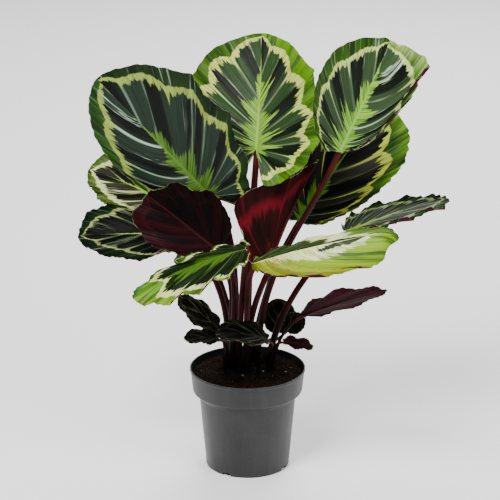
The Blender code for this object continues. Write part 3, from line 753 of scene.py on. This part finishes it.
def stemPath(leaf, base, along, normal):
    # from the soil to the blade, as in the CAD
    angle, distance = math.radians(leaf["root"][0]), leaf["root"][1] * mm
    root = np.array((distance * math.cos(angle), crownY + distance * math.sin(angle),
                     soilHigh.z + petiole["fit"]))
    droop = math.cos(math.radians(min(0.0, *bothHalves(leaf["cup"]))))
    reach = base - root
    arrival = along * leaf["follow"] + reach / np.linalg.norm(reach) * (1 - leaf["follow"])
    arrival /= np.linalg.norm(arrival)
    under = (leaf["radius"] * petiole["jointShare"] + bladeThickness / 2) / droop + petiole["fit"]
    joint = base - normal * under

    foot = root + np.array((0.0, 0.0, petiole["foot"]))
    span = joint - foot
    length = np.linalg.norm(span)
    rise = np.array((span[0] * leaf["lean"], span[1] * leaf["lean"], span[2]))
    bow = foot + rise / np.linalg.norm(rise) * length * petiole["bow"]
    turn = joint - arrival * length * leaf["arrive"]
    t = np.linspace(0, 1, petiole["points"])[:, None]
    curve = (foot * (1 - t) ** 3 + bow * 3 * t * (1 - t) ** 2 + turn * 3 * t * t * (1 - t)
             + joint * t ** 3)
    sunk = root - np.array((0.0, 0.0, petiole["foot"]))
    return np.concatenate([[sunk, root], curve]), under, droop


def stemRoute(leaf):
    # the stem's points, and the rib's points and radius on under the midrib to the tip
    base, alongAxis, upperAxis, _, chord = leafFrame(leaf)
    path = bentMidrib(leaf, chord)
    slope = path[2][0]
    stem, under, droop = stemPath(
        leaf, base, alongAxis * math.cos(slope) + upperAxis * math.sin(slope),
        upperAxis * math.cos(slope) - alongAxis * math.sin(slope))

    share = np.linspace(petiole["ribFrom"], petiole["ribTo"], petiole["ribPoints"])
    forward, height, slopes = alongMidrib(path, share)
    normals = np.outer(np.cos(slopes), upperAxis) - np.outer(np.sin(slopes), alongAxis)
    radius = leaf["radius"] * (petiole["ribShare"] - petiole["ribTaper"] * share ** 0.8)
    lift = radius / droop      # the rib's top lies inside the blade, also where that folds down
    middle = base + np.outer(forward, alongAxis) + np.outer(height, upperAxis)
    settle = np.clip(share / 0.10, 0, 1)[:, None] ** 0.7     # it rises from the stem's end
    rib = middle - normals * (lift[:, None] * settle + under * (1 - settle) * 0.8)
    return stem, rib, radius


def petioleTree(mat):
    # a tube along each stem's path, as thick as its stored radius, channelled in its sheath
    inputs = {"Sides": petiole["sides"], "Groove": petiole["groove"], "Material": mat}
    tree, add, given = newGeometryTree("petioleTube", inputs)
    radius = add("stored", "thickness", data_type="FLOAT")
    around = add("stored", "around", data_type="FLOAT_VECTOR")
    circle = add("GeometryNodeCurvePrimitiveCircle", {"Resolution": given["Sides"], "Radius": 1.0})
    circle = add("GeometryNodeStoreNamedAttribute",
                 {"Geometry": circle, "Name": "around", "Value": add("GeometryNodeInputPosition")},
                 data_type="FLOAT_VECTOR", domain="POINT")
    tube = add("GeometryNodeCurveToMesh", {
        "Curve": add("GeometryNodeMeshToCurve", given["Geometry"]), "Profile Curve": circle,
        "Scale": radius, "Fill Caps": True})
    channel = add("ease", add("split", around, out="X"), 0.55, 1.0)
    sheath = add("ease", add("stored", "along", data_type="FLOAT"), 0.40, 0.05)
    depth = add("MULTIPLY", add("MULTIPLY", channel, sheath),
                add("MULTIPLY", radius, given["Groove"]))
    inward = add("scale", add("GeometryNodeInputNormal"), add("MULTIPLY", depth, -1.0))
    tube = add("GeometryNodeSetPosition", {"Geometry": tube, "Offset": inward})
    tube = add("GeometryNodeSetShadeSmooth", {"Geometry": tube})
    finishGeometryTree(add, tube, given["Material"])
    return tree, inputs


def buildStem(name, tree, inputs):
    leaf = leafSettings(name)
    stem, rib, ribRadius = stemRoute(leaf)
    centres = np.concatenate([stem, rib])
    steps = np.linalg.norm(np.diff(centres, axis=0), axis=1)
    stemLength = steps[:len(stem) - 1].sum()
    t = np.linspace(0, 1, len(stem))
    radius = leaf["radius"] * (petiole["footShare"]
                               - (petiole["footShare"] - 1) * np.clip(t / petiole["footEnd"], 0, 1))
    # the joint below a blade is a smooth, slightly swollen length
    toJoint = (1 - t) * stemLength / petiole["smallJoint" if leaf["small"] else "joint"]
    swell = np.clip(1 - np.abs(toJoint - 0.5) / 0.6, 0, 1)
    radius = radius * (1 - (1 - petiole["jointShare"]) * np.clip(t * 5 - 4, 0, 1))
    radius = radius * (1 + petiole["jointSwell"] * swell)
    mesh = bpy.data.meshes.new(name + "_petiole")
    mesh.from_pydata(centres.tolist(), [(i, i + 1) for i in range(len(centres) - 1)], [])
    for label, values in (("thickness", np.concatenate([radius, ribRadius])),
                          ("along", np.concatenate([[0], np.cumsum(steps)]) / stemLength)):
        mesh.attributes.new(label, "FLOAT", "POINT").data.foreach_set("value", values)
    stalk = newObject(name + "_petiole", mesh)
    applyGeometryTree(stalk, tree, inputs)
    standIn(stalk, name + "_stem")


def petioleMaterial():
    # fleshy wine red leaf stem: matt cuticle, streaked lengthwise with paler streaks that are partly
    # real and partly a painted highlight, and nearly black low in the crown from painted shade
    mat, add = newMaterial("petiole_wine")
    along = add("painted", attribute_name="along")
    around = add("painted", attribute_name="around", out="Vector")
    lengthwise = add("ShaderNodeCombineXYZ", {2: add("MULTIPLY", along, 2.0)})
    streaks = add("noise", add("ShaderNodeVectorMath", around, lengthwise), 3.2, 4.0, 0.6)
    height = add("split", add("place"), out="Z")
    # painted shade: darker from 95 mm above the soil down, nearly black by 25 mm
    foot = [soilHigh.z + above for above in petiole["crownShadeHeights"]]
    colour = layered(
        add, petiole["wine"],
        # paler lengthwise streaks, partly a painted highlight
        (add("ease", streaks, 0.36, 0.66), petiole["wineStreakSheen"]),
        (add("ease", height, *foot, 0.0, 0.93), petiole["crownShadeColour"]),
        (add("ease", along, 0.86, 0.95, 0.0, 0.8), petiole["jointColour"]),
        (add("ease", along, 0.99, 1.03), petiole["ribColour"]))
    return finishMaterial(mat, colour, add("ease", streaks, 0.3, 0.7, 0.44, 0.62), 0.07,
                          add("bump", streaks, 0.3, 0.4 * mm))


# pot

nurseryPot = dict(                     # millimetres
    rim=70.0, height=125.0, lip=3.2, lipOut=0.7, collarFoot=66.5, collar=28.0, step=6.0,
    bodyTop=58.6, base=50.6, wall=1.2, floor=1.5, footRing=3.0, footRise=0.8,
    drains=4, drainWidth=11.0, drainHeight=3.6, drainTurn=-30.0, turns=160,
    black="#222223", dusty="#2d2d2e", flowMark="#333333", splash="#5a5650", scuffed="#6c6c6a",
)


def roundedLine(corners, steps=5):
    # corners are (x, z, rounding); each becomes a short bend
    line = []
    for index, (x, z, rounding) in enumerate(corners):
        corner = Vector((x, z))
        if not rounding or index in (0, len(corners) - 1):
            line.append(corner)
            continue
        before = (Vector(corners[index - 1][:2]) - corner).normalized() * rounding
        after = (Vector(corners[index + 1][:2]) - corner).normalized() * rounding
        for step in range(steps + 1):
            t = step / steps
            line.append(corner + before * (1 - t) ** 2 + after * t ** 2)
    return [(point.x * mm, point.y * mm) for point in line]


def latheMesh(name, line, turns):
    # turns a line that starts and ends on the axis into a closed shell
    bm = bmesh.new()
    rings = []
    for radius, height in line:
        steps = range(turns) if radius > 0 else [0]
        rings.append([bm.verts.new((radius * math.cos(2 * math.pi * step / turns),
                                    radius * math.sin(2 * math.pi * step / turns), height))
                      for step in steps])
    for low, high in zip(rings, rings[1:]):
        for step in range(turns):
            after = (step + 1) % turns
            corners = [low[step % len(low)], low[after % len(low)],
                       high[after % len(high)], high[step % len(high)]]
            bm.faces.new(list(dict.fromkeys(corners)))
    bmesh.ops.recalc_face_normals(bm, faces=bm.faces)
    return newMesh(name, bm)


def potMaterial():
    # injection moulded polypropylene, black: satin with a fine grain, dusty in clouds, scuffed at
    # the rim and the step
    mat, add = newMaterial("moulded_polypropylene")
    size = nurseryPot
    place = add("place")
    height = add("split", place, out="Z")
    cloud = add("noise", place, 24.0, 5.0, 0.6)         # 40 mm clouds of dust
    upright = add("ShaderNodeMapping", {"Vector": place, "Scale": (1.0, 1.0, 0.12)})
    flow = add("noise", upright, 90.0, 3.0)             # flow marks 11 mm apart
    specks = add("noise", place, 520.0, 2.0, 0.7)       # 2 mm splashes of water
    splashed = add("MULTIPLY", add("ease", specks, 0.66, 0.74),
                   add("ease", cloud, 0.40, 0.62, 0.0, 0.6))
    level = add("ShaderNodeMapping", {"Vector": place, "Scale": (1.0, 1.0, 6.0)})
    scuff = add("ease", add("noise", level, 160.0, 4.0, 0.7), 0.56, 0.68)
    step = (size["height"] - size["collar"]) * mm
    atStep = add("ease", add("ABSOLUTE", add("SUBTRACT", height, step)), 3 * mm, 0.0)
    atRim = add("ease", height, potHigh.z - 3 * mm, potHigh.z - 0.5 * mm)
    worn = add("MULTIPLY", scuff, add("MULTIPLY_ADD", add("MAXIMUM", atRim, atStep), 0.28, 0.06))
    colour = layered(
        add, size["black"],
        (add("ease", cloud, 0.35, 0.75), size["dusty"]),
        (add("ease", flow, 0.45, 0.7, 0.0, 0.4), size["flowMark"]),
        (splashed, size["splash"]),
        (worn, size["scuffed"]))
    rough = add("ADD", add("ease", cloud, 0.3, 0.7, 0.34, 0.48),
                add("MULTIPLY", add("ADD", worn, splashed), 0.25))
    # the mould's spark-eroded grain is 0.1 mm; drawn at 0.8 mm so that it shows
    grain = add("noise", place, 1250.0, 2.0)
    relief = add("MULTIPLY_ADD", flow, 0.8, add("MULTIPLY", grain, 0.5))
    return finishMaterial(mat, colour, rough, 0.33, add("bump", relief, 0.35, 0.25 * mm))


def potCorners(size):
    # the section of the wall, from the middle of the underside round to the middle of the floor
    wall, rim, top, base = size["wall"], size["rim"], size["height"], size["base"]
    collarFoot = top - size["collar"]
    bodyTop = collarFoot - size["step"]
    ring, lip = base - size["footRing"], top - size["lip"]
    return [
        (0.0, size["footRise"], 0), (ring, size["footRise"], 0.3), (ring + 0.8, 0.0, 0.3),
        (base - 0.7, 0.0, 0.4), (base, 1.0, 0.6), (size["bodyTop"], bodyTop, 2.4),
        (size["collarFoot"] - wall, collarFoot - wall, 1.0),
        (size["collarFoot"], collarFoot + 0.6, 1.0),
        (rim - size["lipOut"] - 0.35, lip - 0.5, 0.4), (rim, lip + 0.3, 0.6),
        (rim, top, 0.7), (rim - 1.6, top, 0.7), (rim - 1.7, lip, 0.8),
        (size["collarFoot"] - wall, collarFoot + wall, 1.5), (size["bodyTop"] - wall, bodyTop, 2.0),
        (base - wall * 1.5, size["floor"], 1.0), (0.0, size["floor"], 0),
    ]


def drainCutter(size):
    # notches through the corner of wall and floor, with rounded shoulders
    half, high = size["drainWidth"] / 2, size["drainHeight"]
    arch = roundedLine([(-half, -1.0, 0), (-half, high, 1.6), (half, high, 1.6), (half, -1.0, 0)])
    bm = bmesh.new()
    for index in range(size["drains"]):
        turn = Matrix.Rotation(math.radians(size["drainTurn"] + 360 * index / size["drains"]), 3, "Z")
        ends = [[bm.verts.new(turn @ Vector((radius * mm, across, up))) for across, up in arch]
                for radius in (size["base"] - 7.0, size["base"] + 5.0)]
        bm.faces.new(ends[0])
        bm.faces.new(reversed(ends[1]))
        for step in range(len(arch)):
            after = (step + 1) % len(arch)
            bm.faces.new((ends[0][step], ends[1][step], ends[1][after], ends[0][after]))
    bmesh.ops.recalc_face_normals(bm, faces=bm.faces)
    return newObject("drain_cutter", newMesh("drain_cutter", bm))


def buildPot():
    line = roundedLine(potCorners(nurseryPot))
    pot = newObject("nursery_pot", latheMesh("nursery_pot", line, nurseryPot["turns"]))
    cutter = drainCutter(nurseryPot)
    cut = pot.modifiers.new("drains", "BOOLEAN")
    cut.operation = "DIFFERENCE"
    cut.object = cutter
    bakeModifiers(pot)
    bpy.data.objects.remove(cutter)
    pot.data.shade_smooth()
    pot.data.set_sharp_from_angle(angle=math.radians(40))
    pot.data.materials.clear()
    pot.data.materials.append(potMaterial())
    standIn(pot, "pot")
    print("pot built,", len(pot.data.polygons), "faces")


# soil

peatBed = dict(rings=40, turns=120, mound=1.4 * mm, lumps=1.1 * mm, edgeDip=1.5 * mm,
               bedColours=("#050302", "#1a0e07", "#2a1a10"),
               crumbColours=("#050302", "#24140b", "#8f897c"))
peatCrumbs = {
    "Crumb Size": 2.4 * mm, "Crumb Density": 230000.0,      # per square metre of soil
    "Clod Size": 4.6 * mm, "Clod Density": 30000.0,
    "Fibre Length": 9.0 * mm, "Fibre Density": 22000.0,
    "Grain Size": 2.2 * mm, "Grain Density": 1500.0, "Seed": 4,
}
peatKinds = [              # kind, its measure, how round its mesh is, how slim it is, its tint
    ("Crumb", "Size", 1, 1.0, (0.0, 1.0)), ("Clod", "Size", 2, 0.85, (0.0, 0.8)),
    ("Fibre", "Length", 1, 0.12, (0.6, 1.2)), ("Grain", "Size", 2, 0.9, (1.6, 2.0)),
]


def peatMaterial(name, dark, light, pale):
    # moist milled peat: matt crumbs from near black to umber, a few pale grains of perlite
    mat, add = newMaterial(name)
    tint = add("painted", attribute_name="tint")
    clods = add("noise", add("place"), 420.0, 6.0, 0.7)     # crumbs of 1 to 3 mm
    shade = add("MULTIPLY_ADD", tint, 0.8, add("MULTIPLY", clods, 0.6))
    colour = layered(add, dark, (add("ease", shade, 0.25, 1.0), light),
                     (add("ease", tint, 1.4, 1.6), pale))
    return finishMaterial(mat, colour, 0.92, 0.10, add("bump", clods, 0.9, 1.2 * mm))


def crumbTree(mat):
    # crumbs, clods, fibres and grains strewn over the bed
    tree, add, given = newGeometryTree("strewnPeat", {**peatCrumbs, "Material": mat})
    join = add("GeometryNodeJoinGeometry").node
    for index, (kind, length, detail, slim, tintRange) in enumerate(peatKinds):
        ball = add("GeometryNodeMeshIcoSphere", {"Radius": 0.5, "Subdivisions": detail})
        place = add("GeometryNodeInputPosition")
        rough = add("ShaderNodeTexNoise",
                    {"Vector": place, "W": index * 3.0, "Scale": 1.9, "Detail": 2.0},
                    noise_dimensions="4D")
        lump = add("GeometryNodeSetPosition", {
            "Geometry": ball, "Position": add("scale", place, add("MULTIPLY_ADD", rough, 1.9, 0.05))})

        seed = add("ADD", given["Seed"], index * 10.0)
        points = add("GeometryNodeDistributePointsOnFaces", {
            "Mesh": given["Geometry"], "Density": given[kind + " Density"], "Seed": seed},
            distribute_method="RANDOM")
        turn = add("FunctionNodeRandomValue",
                   {0: (-0.5, -0.5, 0.0), 1: (0.5, 0.5, 2 * math.pi), "Seed": seed},
                   data_type="FLOAT_VECTOR")
        grow = add("FunctionNodeRandomValue",
                   {0: (0.6, 0.6 * slim, 0.6 * slim), 1: (1.25, 1.25 * slim, 1.1 * slim),
                    "Seed": add("ADD", seed, 1.0)}, data_type="FLOAT_VECTOR")
        placed = add("GeometryNodeInstanceOnPoints", {
            "Points": points, "Instance": lump, "Rotation": turn,
            "Scale": add("scale", grow, given[kind + " " + length])})
        tint = add("FunctionNodeRandomValue",
                   {2: tintRange[0], 3: tintRange[1], "Seed": add("ADD", seed, 2.0)},
                   data_type="FLOAT", out=1)
        strewn = add("GeometryNodeStoreNamedAttribute",
                     {"Geometry": placed, "Name": "tint", "Value": tint},
                     data_type="FLOAT", domain="INSTANCE")
        tree.links.new(strewn, join.inputs[0])
    smooth = add("GeometryNodeSetShadeSmooth", {"Geometry": join.outputs[0]})
    finishGeometryTree(add, smooth, given["Material"])
    return tree


def bedHeight(x, y):
    # gently mounded at the crown, lumpy, and a little lower along the wall
    away = math.hypot(x, y - crownY) / soilHigh.x
    lumps = (math.sin(210 * x + 3 * math.sin(130 * y)) + math.sin(180 * y + 2.4 * math.sin(160 * x))
             + 0.6 * math.sin(420 * x - 350 * y)) / 2.6
    wallward = max(0.0, math.hypot(x, y) / soilHigh.x - 0.86) / 0.14
    return (soilHigh.z - 0.6 * mm + peatBed["mound"] * math.exp(-4 * away * away)
            + peatBed["lumps"] * lumps * (1 - wallward) - peatBed["edgeDip"] * wallward ** 2)


def buildSoil():
    size = nurseryPot
    rings, turns = peatBed["rings"], peatBed["turns"]
    # the bed's body follows the inside of the pot down to its floor
    clear = size["wall"] + 0.5
    collarFoot = size["height"] - size["collar"]
    floor = size["floor"] + 0.4
    side = [(size["collarFoot"] - clear, collarFoot + 1.6),
            (size["bodyTop"] - clear, collarFoot - size["step"] + 0.4),
            (size["base"] - size["wall"] * 1.5 - 0.6, floor), (0.0, floor)]
    line = [(soilHigh.x * ring / rings, soilHigh.z) for ring in range(rings + 1)]
    mesh = latheMesh("peat_bed", line + [(r * mm, z * mm) for r, z in side], turns)
    for vert in mesh.vertices:
        if vert.co.z > soilHigh.z - 0.5 * mm:
            vert.co.z = bedHeight(vert.co.x, vert.co.y)
    mesh.shade_smooth()
    bed = newObject("peat_bed", mesh)
    mesh.materials.append(peatMaterial("peat_moist", *peatBed["bedColours"]))

    # a disc over the bed, for the crumbs to be strewn on
    bm = bmesh.new()
    bm.from_mesh(latheMesh("peat_disc", line[:-1] + [(0.0, soilHigh.z - 20 * mm)], turns))
    under = [face for face in bm.faces if any(vert.co.z < soilHigh.z - mm for vert in face.verts)]
    bmesh.ops.delete(bm, geom=under, context="FACES")
    for vert in bm.verts:
        vert.co.z = bedHeight(vert.co.x, vert.co.y) + 0.1 * mm
    crumbs = newObject("peat_crumbs", newMesh("peat_crumbs", bm))
    mat = peatMaterial("peat_crumb", *peatBed["crumbColours"])
    applyGeometryTree(crumbs, crumbTree(mat), {**peatCrumbs, "Material": mat})
    for piece in (bed, crumbs):
        standIn(piece, "soil")
    print("soil built")


buildStage()
stemTree, stemInputs = petioleTree(petioleMaterial())
for index, leafName in enumerate(leaves):
    buildBlade(leafName, index * 3.7)
    buildStem(leafName, stemTree, stemInputs)
print("leaves built")
buildPot()
buildSoil()
